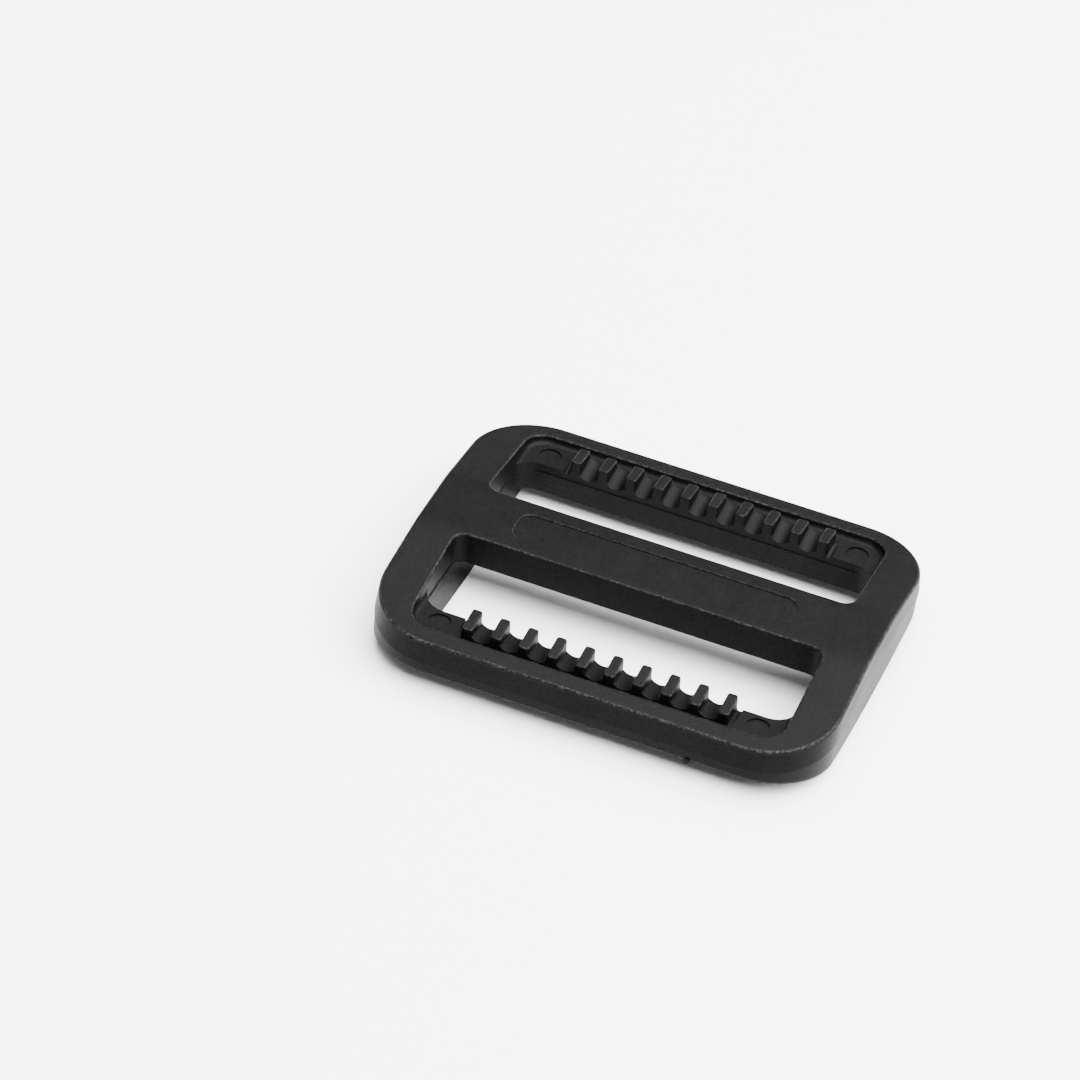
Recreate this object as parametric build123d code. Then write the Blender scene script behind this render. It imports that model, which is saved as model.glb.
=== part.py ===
from build123d import *
import math
import os

# Webbing slider with two slots and two toothed bars, one plastic moulding.
# X runs along the slots, Y across the bars, Z out of the toothed face.
# The origin is under the middle, where the side rails touch a flat surface.
# A depth is measured down from the flat middle of the toothed face.

# Driving dimensions, millimetres and degrees
webbing_width = 25.0
webbing_clearance = 1.0
rail_width = 2.97
half_depth = 12.87
overall_height = 5.1
bar_half_width = 2.65
centre_bar_thickness = 2.3
end_bar_inner_rise = 1.22
end_bar_outer_rise = 0.96
end_bar_flat_end = 11.3
face_tilt = 7.4
face_bend_radius = 10.0
crest_radius = 67.0
outer_corner = 5.0
rail_draft = 2.0
end_draft = 12.0
arched_draft = 1.0
parting_depth = 1.4
parting_slope = 0.11
parting_step = 0.025
rim_inner = 11.55
ledge_depth = 1.68
ledge_inner = 9.0
rim_wall_draft = 8.0
recess_foot = 0.35
window_corner = 1.6
slot_corner = 0.9
back_corner = 1.3
face_edge = 0.22
crest_edge = 0.45
slot_edge = 0.15
slot_draft = 2.0
shut_off_depth = 2.3
shut_off_step = 0.06
crest_slot_half = 12.55
tooth_count = 10
tooth_pitch = 1.98
tooth_foot_width = 0.80
tooth_side_draft = 3.0
tooth_outer_end = 10.87
tooth_rise = 0.19
tooth_corner = 0.18
tooth_edge = 0.1
tooth_tip = 8.92
root_depth = 2.0
groove_outer_depth = 1.6
groove_inner_depth = 1.88
groove_floor_bow = 0.4
end_relief_width = 0.38
panel_length = 19.6
panel_width = 2.8
panel_depth = 0.12
panel_bevel = 0.06
ejector_diameter = 1.6
ejector_depth = 0.12
ejector_x = 11.1
ejector_y = 10.05
gate_x = 7.55
gate_height = 1.42
gate_diameter = 0.4
gate_stub = 0.05
rail_split = 12.5
bar_split = 5.0

# Worked out from the driving dimensions
slot_half = (webbing_width + webbing_clearance) / 2
half_length = slot_half + rail_width
tilt = math.tan(math.radians(face_tilt))
rim_depth = (half_depth - bar_half_width) * tilt
end_lean = math.tan(math.radians(end_draft))
rail_lean = math.tan(math.radians(rail_draft))
parting_end_depth = parting_depth + parting_slope * half_depth
widest_y = half_depth + (parting_end_depth - rim_depth) * end_lean
widest_x = half_length + parting_depth * rail_lean
slot_lean = math.tan(math.radians(slot_draft))
shut_off_height = overall_height - shut_off_depth
shut_off_half = slot_half - shut_off_depth * slot_lean - shut_off_step
crest_slot_lean = (shut_off_half - crest_slot_half) / shut_off_height
tooth_lean = math.tan(math.radians(tooth_side_draft))
comb_half = (tooth_count - 1) * tooth_pitch / 2 + tooth_foot_width / 2
reach = widest_x + 1.0
edge = widest_y + 1.0


def face_depth(y):
    """Depth of the toothed face at a distance from the middle."""
    return max(0.0, abs(y) - bar_half_width) * tilt


def parting_line_depth(y):
    """Depth of the V-shaped line where the two mould halves met."""
    return parting_depth + parting_slope * abs(y)


def crest_height(y):
    """Height of the rail's arched underside above the surface it rests on."""
    return crest_radius - math.sqrt(crest_radius ** 2 - y ** 2)


def across(points, half=reach):
    """Prism along X from corners given as (y, z)."""
    outline = make_face(Polyline(points, close=True).edges())
    return extrude(Plane.YZ * outline, amount=half, both=True)


def leaning_block(half_x, near_y, far_y, low, high, lean_x, lean_y):
    """Upright block; its sides spread by the leans for each unit upwards from `low`."""
    rise = high - low
    ends = across([(near_y, low), (far_y, low), (far_y + rise * lean_y, high),
                   (near_y - rise * lean_y, high)])
    outline = make_face(Polyline(
        (-half_x, low), (half_x, low), (half_x + rise * lean_x, high),
        (-half_x - rise * lean_x, high), close=True).edges())
    return ends & extrude(Plane.XZ * outline, amount=edge, both=True)


def upright_edges(solid, above_y=-edge):
    """The steep edges of a solid whose middles lie beyond a distance along Y."""
    return solid.edges().filter_by(
        lambda e: e.bounding_box().size.Z > 1.0 and e.center().Y > above_y)


def on_face(some_edge):
    """Whether an edge lies on the toothed face."""
    middle = some_edge.position_at(0.5)
    return abs(overall_height - face_depth(middle.Y) - middle.Z) < 0.08


def toothed_half_blank():
    """Everything between the toothed face and the parting line."""
    top = overall_height
    slab = across([
        (-edge, top - face_depth(edge)),
        (-bar_half_width, top),
        (bar_half_width, top),
        (edge, top - face_depth(edge)),
        (edge, top - parting_line_depth(edge)),
        (0.0, top - parting_depth),
        (-edge, top - parting_line_depth(edge)),
    ])
    bends = slab.edges().filter_by(Axis.X).filter_by(
        lambda e: abs(e.center().Z - top) < 0.01)
    slab = fillet(bends, face_bend_radius)
    low = top - parting_end_depth - 0.5
    far = half_depth + (top - rim_depth - low) * end_lean
    walls = leaning_block(half_length + (top - low) * rail_lean, -far, far,
                          low, top + 0.5, -rail_lean, -end_lean)
    half = slab & fillet(upright_edges(walls), outer_corner)
    outline = half.edges().filter_by(on_face).filter_by(
        lambda e: abs(e.center().X) > 1.0 or abs(e.center().Y) > rim_inner)
    return fillet(outline, face_edge)


def arched_half_blank():
    """Everything between the parting line and the arched underside."""
    top = overall_height
    arc = ThreePointArc((-edge, crest_height(edge)), (0.0, 0.0), (edge, crest_height(edge)))
    sides = Polyline(
        (edge, crest_height(edge)),
        (edge, top - parting_line_depth(edge)),
        (0.0, top - parting_depth),
        (-edge, top - parting_line_depth(edge)),
        (-edge, crest_height(edge)),
    )
    outline = make_face([arc.edge(), *sides.edges()])
    slab = extrude(Plane.YZ * outline, amount=reach, both=True)
    lean = math.tan(math.radians(arched_draft))
    low = -0.5
    far = widest_y - parting_step - (top - parting_end_depth - low) * lean
    walls = leaning_block(widest_x - parting_step - (top - parting_depth - low) * lean,
                          -far, far, low, top, lean, lean)
    half = slab & fillet(upright_edges(walls), outer_corner)
    return fillet(half.edges().filter_by(
        lambda e: e.center().Z < crest_height(e.center().Y) + 0.3), crest_edge)


def both_ends(solid):
    """The solid and its copy turned half round Z, for the rear and front bars."""
    return [solid, Rot(0, 0, 180) * solid]


def slots(half_x, far_y, low, high, lean_x, lean_y, far_radius):
    """Cutters for both slots, with rounded corners at the centre bar and at the end bars."""
    near_y = bar_half_width + ledge_inner - far_y
    cutter = leaning_block(half_x, near_y, far_y, low, high, lean_x, lean_y)
    far_corners = upright_edges(cutter, (near_y + far_y) / 2)
    cutter = fillet(far_corners, far_radius)
    near_corners = upright_edges(cutter).filter_by(lambda e: e.center().Y < near_y + 0.5)
    return both_ends(fillet(near_corners, slot_corner))


def face_slots():
    """The part of both slots that the toothed half of the mould makes."""
    narrow = shut_off_depth * slot_lean
    return slots(slot_half - narrow, ledge_inner - narrow, shut_off_height,
                 overall_height + 1.0, slot_lean, slot_lean, window_corner)


def crest_slots():
    """The part of both slots below the line where the two mould cores meet."""
    low = -1.0
    return slots(crest_slot_half + low * crest_slot_lean,
                 ledge_inner - shut_off_depth * slot_lean - shut_off_step,
                 low, shut_off_height, crest_slot_lean, 0.0, back_corner)


def ledge_recesses():
    """Cutters that sink the toothed ledges below the face."""
    floor = overall_height - ledge_depth
    lean = math.tan(math.radians(rim_wall_draft))
    foot = rim_inner - (ledge_depth - face_depth(rim_inner)) * lean
    cutter = leaning_block(slot_half - ledge_depth * slot_lean, ledge_inner - 2.5, foot,
                           floor, overall_height + 1.0, slot_lean, lean)
    cutter = fillet(upright_edges(cutter, ledge_inner), window_corner)
    feet = cutter.edges().filter_by(
        lambda e: abs(e.center().Z - floor) < 0.01 and e.center().Y > ledge_inner - 2.4)
    return both_ends(fillet(feet, recess_foot))


def tooth_top(y):
    """Height of the tooth tops, which stand a little proud of the tilted face."""
    return overall_height - face_depth(y) + tooth_rise


def tooth_band():
    """Solid band along the ledge that the grooves cut into teeth."""
    floor = overall_height - root_depth
    return across([(tooth_tip, tooth_top(tooth_tip)), (tooth_tip, floor),
                   (tooth_outer_end + 0.1, floor), (tooth_outer_end, tooth_top(tooth_outer_end))],
                  comb_half)


def groove(x, floor_width):
    """Cutter with a bowed floor and leaning sides that runs down from the rim to the slot."""
    outer_y = tooth_outer_end + 0.2
    fall = (groove_inner_depth - groove_outer_depth) / (outer_y - ledge_inner)
    inner_y = tooth_tip - 1.0
    drop = groove_outer_depth + fall * (outer_y - inner_y)
    start = Plane(origin=(x, inner_y, overall_height - drop), x_dir=(1, 0, 0),
                  z_dir=(0, 1, fall))
    half = floor_width / 2
    bow = half * groove_floor_bow
    wall = 1.6
    wide = half + wall * tooth_lean
    floor = ThreePointArc((-half, -bow), (0, 0), (half, -bow))
    sides = Polyline((half, -bow), (wide, -bow - wall), (-wide, -bow - wall), (-half, -bow))
    section = make_face([floor.edge(), *sides.edges()])
    length = math.hypot(outer_y - inner_y, fall * (outer_y - inner_y))
    return extrude(start * section, amount=length)


def grooves():
    """The gaps between the teeth of one row, and a narrow relief beyond each end tooth."""
    first = -(tooth_count - 2) * tooth_pitch / 2
    cutters = [groove(first + i * tooth_pitch, tooth_pitch - tooth_foot_width)
               for i in range(tooth_count - 1)]
    end = comb_half + end_relief_width / 2
    cutters += [groove(side * end, end_relief_width) for side in (-1, 1)]
    return cutters


def comb():
    """One row of teeth on a common root, with rounded corners and top edges."""
    solid = tooth_band()
    for cutter in grooves():
        solid -= cutter
    corners = solid.edges().filter_by(
        lambda e: reaches_top(e, 1) and abs(e.tangent_at(0.5).Z) > 0.9)
    solid = fillet(corners, tooth_corner)
    return fillet(solid.edges().filter_by(lambda e: reaches_top(e, 2)), tooth_edge)


def reaches_top(some_edge, ends):
    """Whether exactly this many ends of an edge lie on the tooth tops."""
    return sum(abs(v.Z - tooth_top(v.Y)) < 0.001 for v in some_edge.vertices()) == ends


def under_bars():
    """Cutter for the space between the rails, below the centre bar and the end bars."""
    bar_low = overall_height - centre_bar_thickness
    fall = (end_bar_outer_rise - end_bar_inner_rise) / (end_bar_flat_end - ledge_inner)
    bar_far = bar_half_width + 1.0
    end_near = ledge_inner - 1.0
    near_rise = end_bar_inner_rise + fall * (end_near - ledge_inner)
    edge_rise = end_bar_inner_rise + fall * (edge - ledge_inner)
    below = across([
        (-edge, -1.0), (-edge, edge_rise), (-end_near, near_rise), (-bar_far, bar_low),
        (bar_far, bar_low), (end_near, near_rise), (edge, edge_rise), (edge, -1.0)])
    low = -1.0
    between = leaning_block(crest_slot_half + low * crest_slot_lean, -edge, edge,
                            low, overall_height, crest_slot_lean, 0.0)
    return below & between


def body():
    """Both halves joined, with the slots, the sunken ledges and the hollow underside cut."""
    solid = toothed_half_blank() + arched_half_blank() - under_bars()
    for cutter in face_slots() + crest_slots() + ledge_recesses():
        solid -= cutter
    rims = solid.edges().filter_by(
        lambda e: on_face(e) and abs(e.center().X) < slot_half + 0.1
        and bar_half_width - 0.1 < abs(e.center().Y) < rim_inner + 0.2)
    return fillet(rims, slot_edge)


def panel():
    """Cutter for the shallow panel on the centre bar, with a bevelled rim."""
    shape = RectangleRounded(panel_length, panel_width, slot_corner)
    floor = Plane.XY.offset(overall_height - panel_depth)
    brim = Plane.XY.offset(overall_height - panel_bevel)
    return extrude(floor * shape, amount=panel_depth) + extrude(
        brim * shape, amount=2 * panel_bevel, taper=-45)


def ejector_marks():
    """Cutters for the round marks that the ejector pins left on the ledges."""
    pin = Cylinder(ejector_diameter / 2, 1.0)
    height = overall_height - ledge_depth - ejector_depth + 0.5
    return [Pos(sx * ejector_x, sy * ejector_y, height) * pin for sx in (-1, 1) for sy in (-1, 1)]


def gate():
    """What is left of the runner after trimming, on the front wall."""
    stub = Cylinder(gate_diameter / 2, 1.0)
    return Pos(gate_x, -widest_y - gate_stub + 0.5, gate_height) * Rot(90, 0, 0) * stub


def moulding():
    """The whole slider as it comes out of the mould."""
    whole = body() + gate()
    for cutter in [panel(), *ejector_marks()]:
        whole -= cutter
    for cutter in grooves():
        for copy in both_ends(cutter):
            whole -= copy
    for row in both_ends(comb()):
        whole += row
    return whole


def teeth_region():
    """Region of the rear row of teeth and the strip of ledge that joins their roots."""
    low = shut_off_height
    top = overall_height + 1.0
    past_teeth = tooth_outer_end + tooth_corner
    near = tooth_tip - 1.0
    return across([(near, low), (past_teeth, low), (past_teeth, top), (near, top)],
                  comb_half + end_relief_width)


def regions():
    """The named parts of the moulding, each as the region of space that holds it."""
    tall = 4 * overall_height
    rail = Pos(rail_split + reach / 2, 0, 0) * Box(reach, 2 * edge, tall)
    bar = Pos(0, bar_split + edge / 2, 0) * Box(2 * rail_split, edge, tall)
    teeth = teeth_region()
    turn = Rot(0, 0, 180)
    return {
        "left_side_rail": turn * rail,
        "right_side_rail": rail,
        "centre_bar": Box(2 * rail_split, 2 * bar_split, tall),
        "front_end_bar": turn * (bar - teeth),
        "rear_end_bar": bar - teeth,
        "front_grip_teeth": turn * teeth,
        "rear_grip_teeth": teeth,
    }


def main():
    """Write each named part of the moulding to its own file."""
    os.makedirs("parts", exist_ok=True)
    whole = moulding()
    for name, region in regions().items():
        export_step(whole & region, f"parts/{name}.step")


main()
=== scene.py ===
import math

import bpy
from mathutils import Matrix, Vector


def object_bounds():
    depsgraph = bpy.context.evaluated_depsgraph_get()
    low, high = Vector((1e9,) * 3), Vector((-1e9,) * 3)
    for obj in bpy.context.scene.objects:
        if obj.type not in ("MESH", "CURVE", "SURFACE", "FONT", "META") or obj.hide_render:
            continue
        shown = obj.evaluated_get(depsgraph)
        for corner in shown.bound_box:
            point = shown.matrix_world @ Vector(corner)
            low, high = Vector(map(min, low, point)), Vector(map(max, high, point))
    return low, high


# Webbing slider in near-black acetal, lying on a pale studio floor.
# The slider rests on the crests of its two side rails, toothed face up.

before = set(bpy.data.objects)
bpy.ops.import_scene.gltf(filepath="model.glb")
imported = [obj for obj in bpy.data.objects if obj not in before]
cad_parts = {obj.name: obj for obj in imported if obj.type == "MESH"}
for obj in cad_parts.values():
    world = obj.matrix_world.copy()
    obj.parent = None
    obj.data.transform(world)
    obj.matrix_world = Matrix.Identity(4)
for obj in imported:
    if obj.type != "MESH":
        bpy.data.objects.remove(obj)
bounds_at_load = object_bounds()

MM = 0.001

# The toothed face is flat across the middle and tilts down towards each end bar.
FACE_TOP = bounds_at_load[1][2]
FACE_FLAT_HALF = 2.65 * MM
FACE_SLOPE = math.tan(math.radians(7.4))

# Edges are painted paler, partly as wear and partly as a painted highlight, down to the first
# depth below the face, and not at all past the second.
WEAR_AND_HIGHLIGHT_FULL_DEPTH = 0.20 * MM
WEAR_AND_HIGHLIGHT_END_DEPTH = 0.28 * MM

# Linear colours.
BODY_DARK = (0.0002, 0.0002, 0.0003)
BODY_LIGHT = (0.0032, 0.0032, 0.0032)
# Paler tone of the upper edges: partly wear, partly a painted highlight.
WORN_EDGE_AND_HIGHLIGHT_TONE = (0.020, 0.020, 0.019)
PAPER_DARK = (0.80, 0.80, 0.80)
PAPER_LIGHT = (0.82, 0.82, 0.82)

# Noise scales, in cells per metre.
FINE_GRAIN_SCALE = 20000.0
GRAIN_SCALE = 7500.0
SPECK_SCALE = 5500.0
CLOUD_SCALE = 420.0
FLOW_SCALE = 120.0
PAPER_SCALE = 6.0


# ---------------------------------------------------------------- shader helpers

def new_material(name):
    """An empty node material, its node tree and its output node."""
    material = bpy.data.materials.new(name)
    material.use_nodes = True
    tree = material.node_tree
    tree.nodes.clear()
    output = tree.nodes.new("ShaderNodeOutputMaterial")
    return material, tree, output


def noise(tree, coordinates, scale, detail, roughness=0.5):
    """A noise texture on the given coordinates."""
    node = tree.nodes.new("ShaderNodeTexNoise")
    node.inputs["Scale"].default_value = scale
    node.inputs["Detail"].default_value = detail
    node.inputs["Roughness"].default_value = roughness
    tree.links.new(coordinates, node.inputs["Vector"])
    return node.outputs["Fac"]


def spread(tree, value, low, high, from_low=0.0, from_high=1.0):
    """Maps a value from one range to another, clamped."""
    node = tree.nodes.new("ShaderNodeMapRange")
    node.inputs["From Min"].default_value = from_low
    node.inputs["From Max"].default_value = from_high
    node.inputs["To Min"].default_value = low
    node.inputs["To Max"].default_value = high
    tree.links.new(value, node.inputs["Value"])
    return node.outputs["Result"]


def feed(tree, value, socket):
    """Gives an input socket a number, a colour or a link from an output socket."""
    if isinstance(value, (int, float)):
        socket.default_value = value
    elif isinstance(value, tuple):
        socket.default_value = (*value, 1.0)
    else:
        tree.links.new(value, socket)


def calculate(tree, operation, first, second):
    """A math node on two values, each a socket or a number."""
    node = tree.nodes.new("ShaderNodeMath")
    node.operation = operation
    feed(tree, first, node.inputs[0])
    feed(tree, second, node.inputs[1])
    return node.outputs["Value"]


def mix_colours(tree, factor, first, second):
    """Blends two colours, each a socket or a colour, by a factor socket."""
    node = tree.nodes.new("ShaderNodeMix")
    node.data_type = "RGBA"
    feed(tree, factor, node.inputs[0])
    feed(tree, first, node.inputs[6])
    feed(tree, second, node.inputs[7])
    return node.outputs[2]


# ---------------------------------------------------------------- black acetal

def depth_below_face(tree, place):
    """How far a point lies below the toothed face, in metres; negative above it."""
    axes = tree.nodes.new("ShaderNodeSeparateXYZ")
    tree.links.new(place, axes.inputs[0])
    from_middle = calculate(tree, "ABSOLUTE", axes.outputs["Y"], 0.0)
    beyond_flat = calculate(tree, "SUBTRACT", from_middle, FACE_FLAT_HALF)
    tilted_run = calculate(tree, "MAXIMUM", beyond_flat, 0.0)
    fall = calculate(tree, "MULTIPLY", tilted_run, FACE_SLOPE)
    face = calculate(tree, "SUBTRACT", FACE_TOP, fall)
    return calculate(tree, "SUBTRACT", face, axes.outputs["Z"])


def rounded_edges(tree, place, normal):
    """1 on sloping surfaces near the toothed face, 0 on flats, on walls and lower down."""
    depth = depth_below_face(tree, place)
    near_face = spread(tree, depth, 1.0, 0.0, WEAR_AND_HIGHLIGHT_FULL_DEPTH, WEAR_AND_HIGHLIGHT_END_DEPTH)
    facing = tree.nodes.new("ShaderNodeSeparateXYZ")
    tree.links.new(normal, facing.inputs[0])
    not_flat = spread(tree, facing.outputs["Z"], 1.0, 0.0, 0.90, 0.98)
    not_wall = spread(tree, facing.outputs["Z"], 0.0, 1.0, 0.15, 0.50)
    sloping = calculate(tree, "MULTIPLY", not_flat, not_wall)
    return calculate(tree, "MULTIPLY", near_face, sloping)


def weighted_sum(tree, first, first_weight, second, second_weight):
    """Adds two sockets, each times its weight."""
    return calculate(tree, "ADD", calculate(tree, "MULTIPLY", first, first_weight),
                     calculate(tree, "MULTIPLY", second, second_weight))


def black_acetal():
    """Near-black acetal: fine spark grain all over; upper edges paler and smoother, partly rubbed
    wear and partly a painted highlight.
    """
    material, tree, output = new_material("black_acetal")
    nodes, links = tree.nodes, tree.links
    coordinates = nodes.new("ShaderNodeTexCoord")
    place = coordinates.outputs["Object"]

    grain = noise(tree, place, GRAIN_SCALE, 2.0, 0.6)
    fine_grain = noise(tree, place, FINE_GRAIN_SCALE, 2.0, 0.5)
    cloud = noise(tree, place, CLOUD_SCALE, 4.0, 0.6)
    flow = noise(tree, place, FLOW_SCALE, 2.0, 0.5)
    specks = spread(tree, noise(tree, place, SPECK_SCALE, 3.0, 0.8), 0.05, 1.0, 0.46, 0.62)
    # Paler upper edges: partly wear, partly a painted highlight standing in for the fillets
    # catching the overhead light.
    edges = rounded_edges(tree, place, coordinates.outputs["Normal"])
    wear_and_highlight = calculate(tree, "MULTIPLY", edges, specks)

    speckle = spread(tree, grain, 0.0, 1.0, 0.32, 0.68)
    drift = spread(tree, cloud, 0.0, 1.0, 0.30, 0.70)
    mottle = weighted_sum(tree, speckle, 0.75, drift, 0.25)
    body = mix_colours(tree, mottle, BODY_DARK, BODY_LIGHT)
    colour = mix_colours(tree, wear_and_highlight, body, WORN_EDGE_AND_HIGHLIGHT_TONE)

    grain_roughness = spread(tree, grain, -0.06, 0.06, 0.3, 0.7)
    flow_roughness = spread(tree, flow, 0.36, 0.44, 0.3, 0.7)
    unworn = calculate(tree, "ADD", grain_roughness, flow_roughness)
    roughness = calculate(tree, "SUBTRACT", unworn, calculate(tree, "MULTIPLY", wear_and_highlight, 0.08))

    bump = nodes.new("ShaderNodeBump")
    bump.inputs["Strength"].default_value = 0.8
    bump.inputs["Distance"].default_value = 0.04 * MM
    links.new(weighted_sum(tree, grain, 0.7, fine_grain, 0.3), bump.inputs["Height"])

    plastic = nodes.new("ShaderNodeBsdfPrincipled")
    plastic.inputs["IOR"].default_value = 1.48
    plastic.inputs["Specular IOR Level"].default_value = 0.04
    links.new(colour, plastic.inputs["Base Color"])
    links.new(roughness, plastic.inputs["Roughness"])
    links.new(bump.outputs["Normal"], plastic.inputs["Normal"])
    links.new(plastic.outputs["BSDF"], output.inputs["Surface"])
    return material


acetal = black_acetal()
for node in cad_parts.values():
    node.data.materials.clear()
    node.data.materials.append(acetal)


# ---------------------------------------------------------------- studio

def floor_material():
    """Plain matt white paper, with a trace of unevenness."""
    material, tree, output = new_material("white_paper")
    place = tree.nodes.new("ShaderNodeTexCoord").outputs["Object"]
    tone = mix_colours(tree, noise(tree, place, PAPER_SCALE, 3.0), PAPER_DARK, PAPER_LIGHT)
    paper = tree.nodes.new("ShaderNodeBsdfPrincipled")
    paper.inputs["Roughness"].default_value = 0.9
    paper.inputs["Specular IOR Level"].default_value = 0.1
    tree.links.new(tone, paper.inputs["Base Color"])
    tree.links.new(paper.outputs["BSDF"], output.inputs["Surface"])
    return material


def add_floor():
    """A wide flat floor under the slider."""
    bpy.ops.mesh.primitive_plane_add(size=6.0, location=(0.0, 0.0, 0.0))
    floor = bpy.context.object
    floor.name = "studio_floor"
    floor.data.materials.append(floor_material())


def add_area_light(name, place, width, height, power):
    """A rectangular soft light aimed at the middle of the slider's footprint."""
    data = bpy.data.lights.new(name, "AREA")
    data.shape = "RECTANGLE"
    data.size = width
    data.size_y = height
    data.energy = power
    light = bpy.data.objects.new(name, data)
    light.location = place
    light.rotation_euler = (-Vector(place)).to_track_quat("-Z", "Y").to_euler()
    bpy.context.scene.collection.objects.link(light)


def add_world():
    """Even, dim surroundings."""
    world = bpy.data.worlds.new("studio")
    world.use_nodes = True
    background = world.node_tree.nodes["Background"]
    background.inputs["Color"].default_value = (1.0, 1.0, 1.0, 1.0)
    background.inputs["Strength"].default_value = 0.5
    bpy.context.scene.world = world


add_floor()
add_world()
add_area_light("overhead", (0.16, 0.04, 0.46), width=0.85, height=0.75, power=41.0)
add_area_light("behind_right", (0.50, 0.30, 0.30), width=0.24, height=0.20, power=0.9)
add_area_light("behind_left", (-0.48, 0.34, 0.22), width=0.20, height=0.16, power=0.5)


# ---------------------------------------------------------------- camera

def add_camera():
    """A long lens that looks down on the toothed face from the front right, a little rolled."""
    place = Vector((72.93, -270.51, 225.42)) * MM
    right = Vector((0.92664, 0.36156, 0.10299))
    down = Vector((0.30057, -0.54799, -0.78062))
    forward = right.cross(down)
    right = down.cross(forward)
    turn = Matrix((right.normalized(), (-down).normalized(), (-forward).normalized())).transposed()
    data = bpy.data.cameras.new("camera")
    data.lens = 180.0
    data.sensor_width = 36.0
    data.sensor_fit = "HORIZONTAL"
    data.clip_start = 0.01
    data.clip_end = 20.0
    camera = bpy.data.objects.new("camera", data)
    camera.matrix_world = Matrix.Translation(place) @ turn.to_4x4()
    bpy.context.scene.collection.objects.link(camera)
    bpy.context.scene.camera = camera


add_camera()
